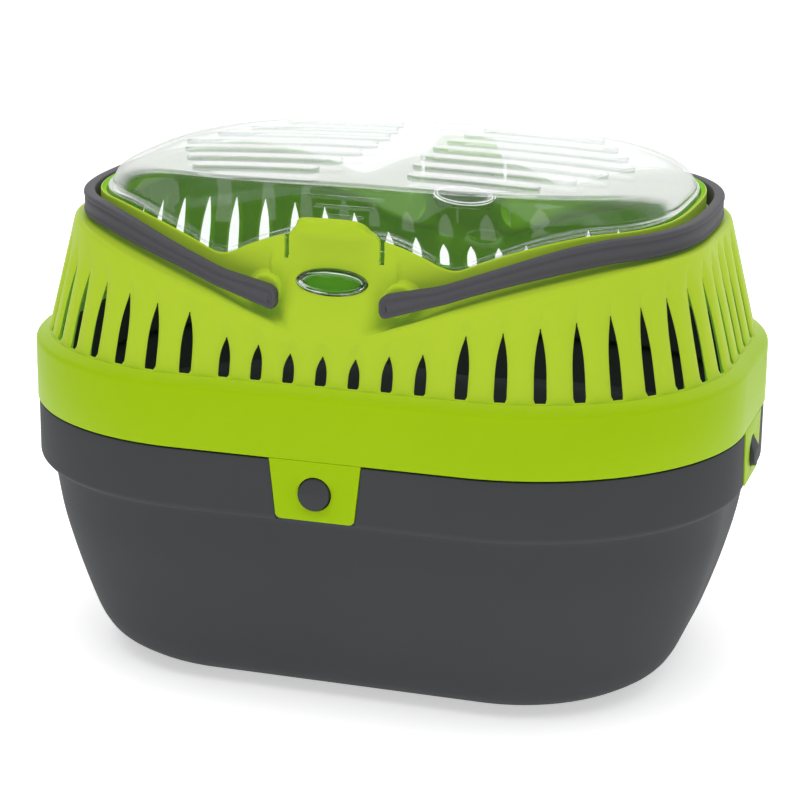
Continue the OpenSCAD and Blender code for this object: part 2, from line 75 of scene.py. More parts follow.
def facing(direction, roll=0.0):
    """The turn of a camera or light that looks against the given direction."""
    back = Vector(direction).normalized()
    right = Vector((0, 0, 1)).cross(back).normalized()
    up = back.cross(right)
    turned_right = right * math.cos(roll) + up * math.sin(roll)
    turned_up = up * math.cos(roll) - right * math.sin(roll)
    return Matrix((turned_right, turned_up, back)).transposed()


def softbox(name, place, target, size, power):
    """A rectangular white area light that the camera doesn't see."""
    lamp = bpy.data.lights.new(name, "AREA")
    lamp.shape = "RECTANGLE"
    lamp.size, lamp.size_y = size
    lamp.energy = power
    holder = bpy.data.objects.new(name, lamp)
    bpy.context.scene.collection.objects.link(holder)
    holder.matrix_world = Matrix.Translation(place) @ facing(Vector(place) - Vector(target)).to_4x4()
    holder.visible_camera = False
    holder.visible_transmission = False
    return holder


back_to_camera = Vector((math.sin(camera_azimuth) * math.cos(camera_elevation),
                         -math.cos(camera_azimuth) * math.cos(camera_elevation),
                         math.sin(camera_elevation)))
camera_data = bpy.data.cameras.new("camera")
camera_data.sensor_width = 36
camera_data.lens = 108.5
camera = bpy.data.objects.new("camera", camera_data)
bpy.context.scene.collection.objects.link(camera)
camera.matrix_world = (Matrix.Translation(looked_at + back_to_camera * camera_distance)
                       @ facing(back_to_camera, camera_roll).to_4x4())
bpy.context.scene.camera = camera
bpy.context.scene.view_settings.view_transform = "Standard"

world = bpy.data.worlds.new("studio_white")
bpy.context.scene.world = world
world.use_nodes = True
sky = world.node_tree
# bright behind the goods and above them, dim towards the front
direction = add_node(sky, "ShaderNodeTexCoord")
looks_to = add_node(sky, "ShaderNodeSeparateXYZ", {}, {"Vector": (direction, "Generated")})
behind = add_node(sky, "ShaderNodeMapRange", {"interpolation_type": "SMOOTHSTEP"},
                  {"Value": (looks_to, "Y"), "From Min": 0.2, "From Max": 0.85, "To Min": 0.17, "To Max": 1.5})
above = add_node(sky, "ShaderNodeMapRange", {"interpolation_type": "SMOOTHSTEP"},
                 {"Value": (looks_to, "Z"), "From Min": 0.35, "From Max": 0.85, "To Min": 0.0, "To Max": 0.62})
brightest = add_node(sky, "ShaderNodeMath", {"operation": "MAXIMUM"},
                     {0: (behind, "Result"), 1: (above, "Result")})
sky.nodes["Background"].inputs["Color"].default_value = srgb("#ffffff")
sky.links.new(brightest.outputs["Value"], sky.nodes["Background"].inputs["Strength"])

overhead = softbox("overhead_softbox", (0.0, -0.42, 1.3), (0, 0, 0.1), (1.2, 0.8), 7.5)
overhead.visible_glossy = False
softbox("front_softbox", (0.5, -1.5, 0.6), (0, 0, 0.12), (0.7, 0.7), 1.4)

bpy.ops.object.select_all(action="DESELECT")
bpy.ops.mesh.primitive_plane_add(size=40, location=(0, 0, 0))
floor = bpy.context.object
floor.name = "studio_floor"
floor_finish = bpy.data.materials.new("white_paper_sweep")
floor_finish.use_nodes = True
paper = floor_finish.node_tree.nodes["Principled BSDF"]
paper.inputs["Base Color"].default_value = srgb("#fcfcfc")
paper.inputs["Roughness"].default_value = 0.9
paper.inputs["Emission Color"].default_value = srgb("#ffffff")
paper.inputs["Emission Strength"].default_value = 0.5
floor.data.materials.append(floor_finish)


# ---- Base tub ----
# An injection-moulded polypropylene tub in dark grey, with a stepped band round its
# rim that carries the upper shell, a large rounding down to a flat foot, and a wedge
# stud moulded in the middle of each side. Its walls are about 2.4 mm thick.
shell_low, shell_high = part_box("upper_shell")
body_w = (shell_high.x - shell_low.x) / MM
body_d = (shell_high.y - shell_low.y) / MM
corner_r = 92.2
straight_x = body_w / 2 - corner_r
straight_y = body_d / 2 - corner_r
ledge_in = 5.6
arc_len = (corner_r - ledge_in) * math.pi / 2
quarter = straight_x + arc_len + straight_y


def clamp(v, a=0.0, b=1.0):
    return max(a, min(b, v))


def smooth(v):
    v = clamp(v)
    return v * v * (3 - 2 * v)


def mix(a, b, t):
    return a + (b - a) * t


def plan(s, r, z):
    """A point of a plan loop in one quarter: s runs from the front's middle to the end's."""
    if s <= straight_x:
        return Vector((s, -(straight_y + r), z))
    if s <= straight_x + arc_len:
        turn = (s - straight_x) / arc_len * math.pi / 2
        return Vector((straight_x + r * math.sin(turn), -(straight_y + r * math.cos(turn)), z))
    left = clamp(1 - (s - straight_x - arc_len) / straight_y)
    return Vector((straight_x + r, -left * straight_y, z))


def rounded(corners, radii, steps):
    """A polyline whose corners are eased by the given radii, with steps + 1 points each."""
    line = []
    for k, (p, r) in enumerate(zip(corners, radii)):
        if r == 0 or k in (0, len(corners) - 1):
            line.append(p)
            continue
        before, after = corners[k - 1] - p, corners[k + 1] - p
        reach = min(r, 0.45 * before.length, 0.45 * after.length)
        a, b = p + before.normalized() * reach, p + after.normalized() * reach
        for i in range(steps + 1):
            t = i / steps
            line.append(a * (1 - t) ** 2 + p * 2 * t * (1 - t) + b * t ** 2)
    return line


def grid_sheet(name, columns, rows):
    """A flat grid whose corner (i, j) stands at x = i, y = j, ready to be shaped."""
    bpy.ops.object.select_all(action="DESELECT")
    bpy.ops.mesh.primitive_grid_add(x_subdivisions=columns, y_subdivisions=rows, size=2)
    sheet = bpy.context.object
    sheet.name = sheet.data.name = name
    for v in sheet.data.vertices:
        v.co = ((v.co.x + 1) / 2 * columns, (v.co.y + 1) / 2 * rows, 0)
    return sheet


def cut_cells(sheet, is_open):
    """Deletes the grid's cells for which is_open(i, j) holds."""
    bpy.ops.object.mode_set(mode="EDIT")
    bpy.ops.mesh.select_mode(type="FACE")
    bpy.ops.mesh.select_all(action="DESELECT")
    bpy.ops.object.mode_set(mode="OBJECT")
    for poly in sheet.data.polygons:
        poly.select = is_open(math.floor(poly.center.x), math.floor(poly.center.y))
    bpy.ops.object.mode_set(mode="EDIT")
    bpy.ops.mesh.delete(type="FACE")
    bpy.ops.object.mode_set(mode="OBJECT")


def shape_sheet(sheet, place, outward=None):
    """Moves each corner (i, j) of the grid to place(i, j), in mm, and welds what meets.
    An open sheet's faces are turned to look the given way."""
    for v in sheet.data.vertices:
        v.co = place(round(v.co.x), round(v.co.y)) * MM
    bpy.ops.object.mode_set(mode="EDIT")
    bpy.ops.mesh.select_all(action="SELECT")
    bpy.ops.mesh.remove_doubles(threshold=2e-6)
    if outward is None:
        bpy.ops.mesh.normals_make_consistent(inside=False)
    elif sum(f.normal.dot(outward) * f.calc_area() for f in bmesh.from_edit_mesh(sheet.data).faces) < 0:
        bpy.ops.mesh.flip_normals()
    bpy.ops.object.mode_set(mode="OBJECT")


def pick(piece):
    """Selects one piece alone and makes it the active one."""
    bpy.ops.object.select_all(action="DESELECT")
    piece.select_set(True)
    bpy.context.view_layer.objects.active = piece


def apply_modifier(piece, kind, settings):
    """Adds a modifier with its settings and applies it."""
    pick(piece)
    modifier = piece.modifiers.new(kind.lower(), kind)
    for name, value in settings.items():
        setattr(modifier, name, value)
    bpy.ops.object.modifier_apply(modifier=modifier.name)


def smooth_shade(piece, degrees):
    pick(piece)
    bpy.ops.object.shade_smooth_by_angle(angle=math.radians(degrees))


def full_turn(quarter_columns):
    """Mirrors a quarter's columns into a full turn: (column, sign of x, sign of y) each."""
    n = len(quarter_columns) - 1
    order = (list(range(n)) + list(range(n, 0, -1))) * 2
    signs = [(1, 1)] * n + [(1, -1)] * n + [(-1, -1)] * n + [(-1, 1)] * n
    return [(quarter_columns[k], g) for k, g in zip(order, signs)]


def turned(point, signs):
    return Vector((point.x * signs[0], point.y * signs[1], point.z))


def moulded_plastic(name, colour, deep, rough, grain_mm, sheen, grain=0.03, peel=0.02, glow=0.0, thin=None):
    """Injection-moulded polypropylene: a slight drift of the pigment, a fine mould grain
    and the long soft waves that shrinkage leaves, which bend the highlights. Thin is a lighter,
    yellower wall colour painted above the tub's rim for light passing through the walls; given it, the inner faces
    also get a painted brighter green and both a faint painted glow."""
    waves_mm = 9.0
    finish = bpy.data.materials.new(name)
    finish.use_nodes = True
    tree = finish.node_tree
    shader = tree.nodes["Principled BSDF"]
    place = add_node(tree, "ShaderNodeTexCoord")
    drift = add_node(tree, "ShaderNodeTexNoise", {}, {"Vector": (place, "Object"), "Scale": 14.0, "Detail": 3.0})
    tint = add_node(tree, "ShaderNodeMix", {"data_type": "RGBA"},
                    {"Factor": (drift, "Fac"), "A": srgb(deep), "B": srgb(colour)})
    if thin:
        # painted light: above the tub's rim the walls get the lighter, yellower colour thin for light passing
        # through them, and their inner faces a brighter painted green
        height = add_node(tree, "ShaderNodeSeparateXYZ", {}, {"Vector": (place, "Object")})
        painted_light_above_rim = add_node(tree, "ShaderNodeMapRange", {"interpolation_type": "SMOOTHSTEP"},
                        {"Value": (height, "Z"), "From Min": 0.133, "From Max": 0.141})
        tint = add_node(tree, "ShaderNodeMix", {"data_type": "RGBA"},
                        {"Factor": (painted_light_above_rim, "Result"), "A": (tint, "Result"), "B": srgb(thin)})
        level = add_node(tree, "ShaderNodeVectorMath", {"operation": "MULTIPLY"},
                         {0: (place, "Object"), 1: (1.0, 1.4, 0.0)})
        away = add_node(tree, "ShaderNodeVectorMath", {"operation": "NORMALIZE"}, {0: (level, "Vector")})
        outer = add_node(tree, "ShaderNodeVectorMath", {"operation": "DOT_PRODUCT"},
                         {0: (away, "Vector"), 1: (place, "Normal")})
        # painted light: the inner faces get a brighter green than the shell's own, standing for light in the dim
        # interior
        inside = add_node(tree, "ShaderNodeMapRange", {},
                          {"Value": (outer, "Value"), "From Min": -0.25, "From Max": -0.55})
        tint = add_node(tree, "ShaderNodeMix", {"data_type": "RGBA"},
                        {"Factor": (inside, "Result"), "A": (tint, "Result"), "B": srgb("#98dc24")})
        # painted glow: the walls above the rim and the inner faces emit a faint light of their own
        painted_glow_share = add_node(tree, "ShaderNodeMath", {"operation": "MAXIMUM"},
                           {0: (painted_light_above_rim, "Result"), 1: (inside, "Result")})
        painted_glow_strength = add_node(tree, "ShaderNodeMath", {"operation": "MULTIPLY"}, {0: (painted_glow_share, "Value"), 1: 0.065})
        shader.inputs["Emission Color"].default_value = srgb("#bcff89")
        tree.links.new(painted_glow_strength.outputs["Value"], shader.inputs["Emission Strength"])
    waves = add_node(tree, "ShaderNodeTexNoise", {},
                     {"Vector": (place, "Object"), "Scale": 1 / (waves_mm * MM), "Detail": 1.0})
    pits = add_node(tree, "ShaderNodeTexNoise", {},
                    {"Vector": (place, "Object"), "Scale": 1 / (grain_mm * MM), "Detail": 2.0})
    soft = add_node(tree, "ShaderNodeBump", {}, {"Strength": peel, "Distance": 0.002, "Height": (waves, "Fac")})
    fine = add_node(tree, "ShaderNodeBump", {},
                    {"Strength": grain, "Distance": 0.0004, "Height": (pits, "Fac"), "Normal": (soft, "Normal")})
    gloss = add_node(tree, "ShaderNodeMapRange", {},
                     {"Value": (pits, "Fac"), "To Min": rough - 0.03, "To Max": rough + 0.05})
    tree.links.new(tint.outputs["Result"], shader.inputs["Base Color"])
    tree.links.new(gloss.outputs["Result"], shader.inputs["Roughness"])
    tree.links.new(fine.outputs["Normal"], shader.inputs["Normal"])
    shader.inputs["IOR"].default_value = 1.49
    shader.inputs["Specular IOR Level"].default_value = sheen
    if glow:
        shader.inputs["Subsurface Weight"].default_value = glow
        shader.inputs["Subsurface Radius"].default_value = (0.6, 1.0, 0.1)
        shader.inputs["Subsurface Scale"].default_value = 0.002
    return finish


# The tub's outline from the foot up: [inset from the rim, height, rounding].
tub_outline = [(60, 0, 0), (43.7, 0, 5), (37, 2.6, 4), (28.3, 8, 5), (23.8, 15, 5), (20, 25, 6), (14.9, 40, 8),
               (9.3, 60, 8), (6.3, 79.8, 0), (5.3, 82.4, 0.8), (2.2, 83.2, 0.9), (0.5, 85.0, 1.2),
               (0.5, 108.1, 0.3), (3, 108.5, 0.4), (3, 130, 0)]
tub_t = 2.4
pocket_in = 2.35
pocket_z0, pocket_z1 = 83.3, 108.3
stud_z, stud_r, stud_out = 95.9, 6.2, 1.9
tab_half, tab_half_end, tab_z0, tab_z1 = 18.6, 15.9, 84.8, 108.9
hinge_gap = 0.35


def tab_edge(z):
    """Half width of a snap tab at a height."""
    return mix(tab_half_end, tab_half, clamp((z - tab_z0) / (tab_z1 - tab_z0)))


# Columns that follow the pockets behind the four snap tabs: share of the pocket's half width.
tub_columns = ([("front", f) for f in (0, 0.33, 0.66, 0.985, 1.0)] + [("s", s) for s in (24, 30, 38, 47)]
               + [("s", straight_x + arc_len * i / 30) for i in range(31)]
               + [("end", f) for f in (1.0, 0.985, 0.66, 0.33, 0)])
tub_turn = full_turn(tub_columns)


def tub_line(column, in_pocket):
    """The outer face of the tub at one column, from the flat foot up."""
    kind, value = column
    corners, radii = [], []
    for inset, z, ease in tub_outline:
        edge = tab_edge(z) + hinge_gap
        s = value if kind == "s" else value * edge if kind == "front" else quarter - value * edge
        if in_pocket and 84 < z < pocket_z1:
            inset = pocket_in + hinge_gap
        elif in_pocket and z == 83.2:
            inset, z = pocket_in + hinge_gap, pocket_z0
        corners.append(plan(s, corner_r - inset, z))
        radii.append(ease)
    return rounded(corners, radii, 4)


tub_lines = [tub_line(c, c[0] != "s" and c[1] < 0.99) for c in tub_columns]
tub_rows = len(tub_lines[0]) - 1
tub_index = {c: k for k, c in enumerate(tub_columns)}
tub = grid_sheet("tub_body", len(tub_turn), tub_rows)


def tub_place(i, j):
    column, signs = tub_turn[i % len(tub_turn)]
    return turned(tub_lines[tub_index[column]][j], signs)


shape_sheet(tub, tub_place)
bpy.ops.object.mode_set(mode="EDIT")
bpy.ops.mesh.select_mode(type="EDGE")
bpy.ops.mesh.select_all(action="DESELECT")
mesh = bmesh.from_edit_mesh(tub.data)
for edge in mesh.edges:
    if edge.is_boundary and edge.verts[0].co.z < MM:
        edge.select_set(True)
bmesh.update_edit_mesh(tub.data)
bpy.ops.mesh.edge_face_add()
bpy.ops.mesh.select_all(action="SELECT")
bpy.ops.mesh.normals_make_consistent(inside=False)
bpy.ops.object.mode_set(mode="OBJECT")
apply_modifier(tub, "SOLIDIFY", {"thickness": tub_t * MM, "offset": -1, "use_even_offset": False})
smooth_shade(tub, 38)

tub_grey = moulded_plastic("polypropylene_dark_grey_satin", "#484a4c", "#424446", 0.55, 0.9, 0.05)
tub.data.materials.append(tub_grey)
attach(tub, "case")
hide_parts("base_tub")


def stud_at(name, reach, turn):
    """One wedge stud: a cylinder whose upper half is cut back to a ramp."""
    bpy.ops.object.select_all(action="DESELECT")
    depth = stud_out + 4
    ramp = math.radians(24)
    bpy.ops.mesh.primitive_cylinder_add(vertices=64, radius=stud_r * MM, depth=depth * MM,
                                        location=(0, -(reach + stud_out - depth / 2) * MM, stud_z * MM),
                                        rotation=(math.pi / 2, 0, 0))
    stud = bpy.context.object
    bpy.ops.object.transform_apply(location=True, rotation=True, scale=True)
    stud.name = stud.data.name = name
    bpy.ops.object.mode_set(mode="EDIT")
    bpy.ops.mesh.select_all(action="SELECT")
    bpy.ops.mesh.bisect(plane_co=(0, -(reach + stud_out) * MM, (stud_z + 0.3) * MM),
                        plane_no=(0, -math.cos(ramp), math.sin(ramp)), clear_outer=True, use_fill=True)
    bpy.ops.object.mode_set(mode="OBJECT")
    apply_modifier(stud, "BEVEL", {"width": 0.35 * MM, "segments": 3, "limit_method": "ANGLE",
                                   "angle_limit": math.radians(20)})
    smooth_shade(stud, 40)
    stud.data.transform(Matrix.Rotation(math.radians(turn), 4, "Z"))
    stud.data.materials.append(tub_grey)
    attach(stud, "case")
    return stud


stud_at("front_stud", body_d / 2, 0)
stud_at("right_stud", body_w / 2, 90)
stud_at("back_stud", body_d / 2, 180)
stud_at("left_stud", body_w / 2, 270)


# ---- Upper shell ----
# The lime green shell is one moulding of polypropylene about 2.2 mm thick: a rim band
# over the tub, a leaning wall pierced by pointed slots that each sit in a shallow
# flute, a scooped seat for the handles, and a waved lip with two latch panels.
wall_t = 2.2
band_z0, band_z1, slot_z = 108.9, 134.4, 137.5
wall_lean = 0.2514
lip_a, lip_b, lip_k, lip_z, lip_dip_z, dip_x = 122.7, 90.6, 2.95, 196.2, 180.8, 46.5
handle_a, handle_b, handle_k, handle_t, handle_z = 130.6, 100.0, 2.7, 4.6, 186.1
handle_h, handle_drop, foot_grow, end_grow = 7.5, 22.7, 2, 1.6
seat_gap, seat_drop, foot_room = 0.6, 30, 3.4
pivot_x, pivot_z = 27.0, 169.5
short_pitch, first_long = 13.2, 55.7
long_pitch = (quarter - 6.6 - first_long) / 10
flute_deep, slot_rim, slot_tip = 1.4, 0.45, 0.28
panel_points = [(150, -104.9), (154.6, -103.5), (160, -101.2), (165, -98.3), (170, -95.5), (175, -93.2),
                (179, -91.8), (182.4, -91.1), (186, -90.9), (190, -90.9)]
slit_in, slit_mid, slit_out, slit_z, seam_z = 18.4, 19.1, 20.2, 182.6, 183.86


def ease(s, a, length, power):
    """One up to a, falling to nought over the length."""
    return (1 - clamp((s - a) / length)) ** power


def recess_z(s):
    """The outer edge of the handles' seat."""
    return handle_z - seat_gap - seat_drop * ease(s, 12, 148, 1.93)


def handle_low(s):
    """The underside of a folded handle."""
    return handle_z - handle_drop * ease(s, 22, 105, 1.5)


def bar_height(s):
    return handle_h + foot_grow * ease(s, 22, 20, 1) + end_grow * smooth((s - 60) / 50)


def lip_top(s):
    """The lip's height: it falls from the ends to a dip, then rises to the latch panel."""
    if s < dip_x:
        t = (dip_x - s) / (dip_x - slit_mid)
        return lip_dip_z + 11.3 * t + 1.13 * math.sin(math.pi * min(t, 1))
    return lip_z - (lip_z - lip_dip_z) * ease(s, dip_x, 74, 1.68)


def lip_edge(s):
    """The lip's height with its dip eased."""
    if abs(s - dip_x) > 7:
        return lip_top(s)
    weights = ((-7, 1), (-4.7, 2), (-2.3, 3), (0, 3), (2.3, 3), (4.7, 2), (7, 1))
    return sum(lip_top(s + d) * w for d, w in weights) / 15


def aim(s):
    """The direction of a column from the middle, with both half lengths taken as one."""
    p = plan(s, corner_r, 0)
    return math.atan2(2 * p.x / body_w, -2 * p.y / body_d)


def upper(s, a, b, k, z):
    """A point of one of the upper loops, which are fuller than an ellipse: a and b are its
    half lengths, k its fullness. The columns run straight up as far as the lip's dip."""
    if s <= dip_x:
        return Vector((s, -b * (1 - (s / a) ** k) ** (1 / k), z))
    start = math.atan2(dip_x / a, (1 - (dip_x / a) ** k) ** (1 / k))
    first, here = aim(dip_x), aim(s)
    t = here + (start - first) * (math.pi / 2 - here) / (math.pi / 2 - first)
    m = (abs(math.sin(t)) ** k + abs(math.cos(t)) ** k) ** (-1 / k)
    return Vector((a * math.sin(t) * m, -b * math.cos(t) * m, z))


def lip_at(s, inset, z):
    """A point of the lip's wall."""
    return upper(s, lip_a - inset, lip_b - inset, lip_k, z)


def wall_r(z):
    """The corner radius of the leaning wall."""
    return corner_r - ledge_in - (z - slot_z) * wall_lean


def along(points, v):
    """The second value of a list of pairs at v, the first, with an even curve between them."""
    k = 0
    while k < len(points) - 2 and v > points[k + 1][0]:
        k += 1
    (v0, y0), (v1, y1) = points[k], points[k + 1]
    before = points[max(k - 1, 0)]
    after = points[min(k + 2, len(points) - 1)]
    m0 = (y1 - before[1]) / (v1 - before[0])
    m1 = (after[1] - y0) / (after[0] - v0)
    t, span = (v - v0) / (v1 - v0), v1 - v0
    return ((2 * t ** 3 - 3 * t ** 2 + 1) * y0 + (t ** 3 - 2 * t ** 2 + t) * span * m0
            + (3 * t ** 2 - 2 * t ** 3) * y1 + (t ** 3 - t ** 2) * span * m1)


# Each slot: where its middle is, its width and the height of its tip.
slots = ([(short_pitch * k, 4.5, 148.1 + (0, 0, 2.2, 4.0)[k]) for k in range(4)]
         + [(first_long + long_pitch * j, 5.0, 160.2 + 2.1 * j - 0.04 * j * j) for j in range(11)])
slot_shares = [0, 0.05, 0.14, 0.25, 0.37, 0.48, 0.58, 0.67, 0.75, 0.82, 0.88, 0.93, 0.97, 1.0]
over_shares = [0.06, 0.15, 0.28, 0.44, 0.6, 0.76, 0.9]


def slot_half(width, share):
    """Half width of a slot at a share of its height: straight below, a pointed arch above."""
    if share < 0.05:
        return width / 2 - 0.5 + 10 * share
    arch = clamp((share - 0.32) / 0.68)
    return max(slot_tip, width / 2 * (1 - arch ** 2.3))


# A column is (slot number, kind, value, rib before, rib after). The kinds mid, half and
# edge lie in or at the slot, rim and f cross its flute, and rib and at stand still.
shell_columns = []
for k, (centre, width, tip) in enumerate(slots):
    after = (centre + slots[k + 1][0]) / 2 if k < 14 else quarter
    before = (centre + slots[k - 1][0]) / 2 if k else 0
    left = [("rib", before), ("f", -0.66), ("f", -0.33), ("rim", -1), ("edge", -1), ("half", -1)] if k else []
    right = [("half", 1), ("edge", 1), ("rim", 1), ("f", 0.33), ("f", 0.66)]
    if k == 1:
        right = [("half", 1), ("edge", 1), ("rim", 1)] + [("at", s) for s in (16.3, 17.1, 17.8, slit_in)]
    if k == 2:
        left = [("at", s) for s in (slit_out, 20.6, 20.95)] + left[1:]
    for entry in left + [("mid", 0)] + right:
        shell_columns.append((k, entry[0], entry[1], before, after))
shell_columns.append((14, "rib", quarter, quarter, quarter))


def column_s(column, share, over):
    """Where a column runs: share is the height along its slot, over the height above it."""
    k, kind, value, before, after = column
    centre, width, tip = slots[k]
    if kind in ("rib", "at"):
        return value
    half = slot_half(width, share) if over <= 0 else mix(slot_tip, 2.2, smooth(over))
    if kind == "mid":
        return centre
    if kind == "half":
        return centre + value * half * 0.5
    if kind == "edge":
        return centre + value * half
    if kind == "rim":
        return centre + value * (half + slot_rim)
    room = after - centre if value > 0 else centre - before
    if k == 1 and value > 0:
        room = 3.1
    return centre + math.copysign(mix(half + slot_rim, room, abs(value)), value)


def tip_at(column):
    """The top of the slotted zone at a column: at a rib, the mean of the slots beside it."""
    k, kind, value, before, after = column
    tip = slots[k][2]
    if kind == "rib":
        return (tip + slots[max(k - 1, 0)][2]) / 2 if value < quarter else tip
    if kind == "f":
        other = slots[min(k + 1, 14)][2] if value > 0 else slots[max(k - 1, 0)][2]
        return mix(tip, (tip + other) / 2, abs(value))
    if kind == "at":
        return mix(slots[1][2], slots[2][2], (value - short_pitch) / short_pitch)
    return tip


def flute_depth(column, s, z):
    """How far the wall is sunk by the flutes of the slots near a column."""
    k = column[0]
    deep = 0.0
    for centre, width, tip in slots[max(k - 1, 0):k + 2]:
        reach = (5.3 if width < 4.9 else 5.6) * (1 - 0.75 * smooth((z - tip + 1) / 9))
        if abs(s - centre) < reach:
            fade = 1 - smooth((z - tip) / 8.5)
            foot = smooth((z - slot_z + 0.4) / 1.4)
            deep += flute_deep * (1 - ((s - centre) / reach) ** 2) ** 2 * fade * foot
    return deep


def shell_line(column):
    """The outer face of the shell at one column, from the band's lower edge to the lip."""
    k, kind, value, before, after = column
    tip = tip_at(column)
    base_s = column_s(column, 0, 0)
    top_s = column_s(column, 1, 1)
    band = [plan(base_s, corner_r - 0.25, band_z0), plan(base_s, corner_r, band_z0 + 0.35),
            plan(base_s, corner_r, (band_z0 + band_z1) / 2)]
    edge = rounded([plan(base_s, corner_r, band_z1 - 6), plan(base_s, corner_r, band_z1),
                    plan(base_s, corner_r - ledge_in - 0.1, slot_z - 0.6), plan(base_s, wall_r(slot_z), slot_z)],
                   [0, 1.8, 1.6, 0], 4)
    line = band + edge[1:-1]
    for share in slot_shares:
        s = column_s(column, share, 0)
        z = mix(slot_z, tip, share)
        dip = 0.32 if kind in ("edge", "half", "mid") else 0
        line.append(plan(s, wall_r(z) - flute_depth(column, s, z) - dip, z))
    zr = recess_z(top_s)
    for over in over_shares:
        s = column_s(column, 1, over)
        z = mix(tip, zr - 2.6, over)
        line.append(plan(s, wall_r(z) - flute_depth(column, s, z), z))
    foot = handle_low(top_s) - seat_gap - foot_room * ease(top_s, 1.25 * pivot_x, 0.5 * pivot_x, 1)
    shoulder = plan(top_s, wall_r(zr), zr)
    lip_out = lip_at(top_s, 0, foot)
    middle = (shoulder + lip_out) / 2 - Vector((0, 0, 0.9))
    upper_part = rounded([plan(top_s, wall_r(zr - 8), zr - 8), shoulder, middle, lip_out,
                          lip_at(top_s, 0, foot + 8)], [0, 2.2, 4, 2.6, 0], 5)[1:-1]
    inner_tab = top_s <= slit_in + 0.01
    top = seam_z if inner_tab else lip_edge(top_s)
    start = upper_part[-1].z
    slit_at = slit_z if top_s < 26 else mix(start, top, mix(0.45, 0.62, smooth((top_s - 26) / 20)))
    upper_part += [lip_at(top_s, 0, mix(start, slit_at, h / 8)) for h in range(1, 9)]
    if inner_tab:
        upper_part += [lip_at(top_s, 0, mix(slit_at, top, h)) for h in (0.2, 0.4, 0.6, 0.8, 1.0)]
    else:
        upper_part += [lip_at(top_s, 0, mix(slit_at, top, h)) for h in (0.35, 0.7)]
        upper_part += [lip_at(top_s, 0, top - 0.5), lip_at(top_s, 0.15, top - 0.15), lip_at(top_s, 0.5, top)]
    share = 1 - smooth((top_s - 13.0) / 13.0)
    if share > 0:
        # the latch panel: the wall sweeps on into the tab without the handle's seat
        for p in upper_part:
            if p.z > slit_z + 0.05 and not inner_tab:
                continue
            rise = smooth((p.z - 172) / 10.6)
            keep = max(share, rise if inner_tab else 0.0)
            if p.z <= slit_z + 0.05:
                p.y = mix(p.y, along(panel_points, p.z), max(share, rise) if top_s < 26 else share)
            else:
                p.y = mix(p.y, along(panel_points, p.z), keep)
    return line + upper_part


shell_turn = full_turn(shell_columns)
shell_lines = {c: shell_line(c) for c in shell_columns}
shell_rows = len(shell_lines[shell_columns[0]]) - 1
slot_row = 3 + 10    # the band's rows and those of the ledge above it
slit_row = shell_rows - 5
shell = grid_sheet("shell_body", len(shell_turn), shell_rows)


def shell_open(i, j):
    """True for the cells of a slot, and for the slit beside a finger tab."""
    a, b = shell_turn[i][0], shell_turn[(i + 1) % len(shell_turn)][0]
    in_slot = {a[1], b[1]} <= {"edge", "half", "mid"} and a[0] == b[0]
    if in_slot and slot_row <= j < slot_row + len(slot_shares) - 1:
        return True
    return {a[2], b[2]} == {slit_in, slit_out} and j >= slit_row


cut_cells(shell, shell_open)
shape_sheet(shell, lambda i, j: turned(shell_lines[shell_turn[i % len(shell_turn)][0]][j],
                                       shell_turn[i % len(shell_turn)][1]))
apply_modifier(shell, "SOLIDIFY", {"thickness": wall_t * MM, "offset": -1, "use_even_offset": False,
                                   "use_rim": True})
catch_y, catch_z, panel_lean = -93.2, 175.0, math.atan2(2.0, 7.4)
hole_x, hole_z = 14.7, 5.4
panel_up = Vector((0, math.sin(panel_lean), math.cos(panel_lean)))
panel_out = Vector((0, -math.cos(panel_lean), math.sin(panel_lean)))
for turn in (0, 180):
    # the oval hole of each latch panel
    bpy.ops.object.select_all(action="DESELECT")
    bpy.ops.mesh.primitive_cylinder_add(vertices=96, radius=1, depth=0.03)
    cutter = bpy.context.object
    oval = Matrix((Vector((1, 0, 0)) * hole_x * MM, panel_up * hole_z * MM, panel_out)).transposed().to_4x4()
    cutter.data.transform(Matrix.Rotation(math.radians(turn), 4, "Z")
                          @ Matrix.Translation((0, catch_y * MM, catch_z * MM)) @ oval)
    cutter.data.update()
    apply_modifier(shell, "BOOLEAN", {"operation": "DIFFERENCE", "object": cutter, "solver": "EXACT"})
    bpy.data.objects.remove(cutter)
smooth_shade(shell, 42)
# thin is the lighter wall colour painted above the tub's rim for light passing through; the shell also gets a
# painted brighter green inside and a faint painted glow
shell_green = moulded_plastic("polypropylene_lime_green_gloss", "#a6c90e", "#9fc40a", 0.4, 1.1, 0.06,
                              grain=0.02, peel=0.03, glow=0.12, thin="#b0c824")
shell.data.materials.append(shell_green)
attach(shell, "case")
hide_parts("upper_shell")

# The four pivot bosses that carry the handles' pins stand on the lip wall, which
# sweeps out into each of them.
boss_rings = [(9.4, 0.7), (8.3, 0.0), (7.5, -0.4), (7.0, -1.0), (6.7, -1.9), (6.55, -2.8), (6.3, -3.3),
              (5.8, -3.6), (5.2, -3.7), (0.0, -3.7)]
for name, side, turn in (("front_right", 1, 0), ("front_left", -1, 0),
                         ("back_left", 1, 180), ("back_right", -1, 180)):
    boss = grid_sheet(name + "_boss", 72, len(boss_rings) - 1)
    shape_sheet(boss, lambda i, j: Vector((side * pivot_x + boss_rings[j][0] * math.cos(math.pi * i / 36),
                                           boss_rings[j][1] + lip_at(pivot_x, 0.1, 0).y,
                                           pivot_z + boss_rings[j][0] * math.sin(math.pi * i / 36))),
                Vector((0, -1, 0)))
    smooth_shade(boss, 60)
    boss.data.transform(Matrix.Rotation(math.radians(turn), 4, "Z"))
    boss.data.materials.append(shell_green)
    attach(boss, "case")


# ---- Snap tabs ----
# Four green flaps hang from the rim band on thin moulded hinges. Each is a flat plate
# with rounded lower corners and a round hole that snaps over a stud of the tub.
tab_t = 2.0


